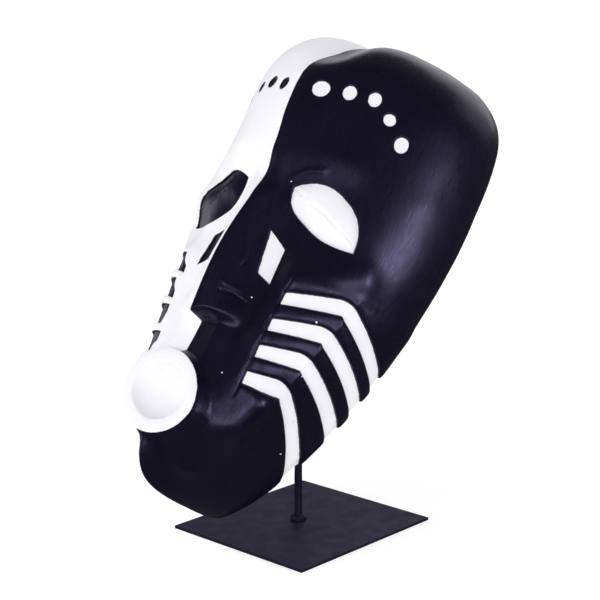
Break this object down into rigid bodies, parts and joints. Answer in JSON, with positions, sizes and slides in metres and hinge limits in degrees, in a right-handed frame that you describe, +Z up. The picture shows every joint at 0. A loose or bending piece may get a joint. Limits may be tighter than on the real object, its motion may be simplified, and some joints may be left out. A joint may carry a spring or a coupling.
{
  "type": "carved wooden mask on a steel stand",
  "caption": "Hollow carved mask with a long nose, an open round mouth and grooved cheeks, painted half black and half white, leaning back on a steel rod and plate.",
  "frame": {"origin": "centre of the plate's underside, on the surface that it stands on", "axes": "+Z up, the mask faces -Y and leans back, its black half is on +X"},
  "size_m": [0.1972, 0.2304, 0.3181],
  "materials": {
    "painted_wood": "satin blue-black paint on the +X half, matte white paint on the other half, dark stain behind",
    "black_steel": "matte black paint"
  },
  "bodies": {
    "root": {"mask": "painted_wood", "base_plate": "black_steel", "upright_rod": "black_steel"}
  },
  "joints": []
}
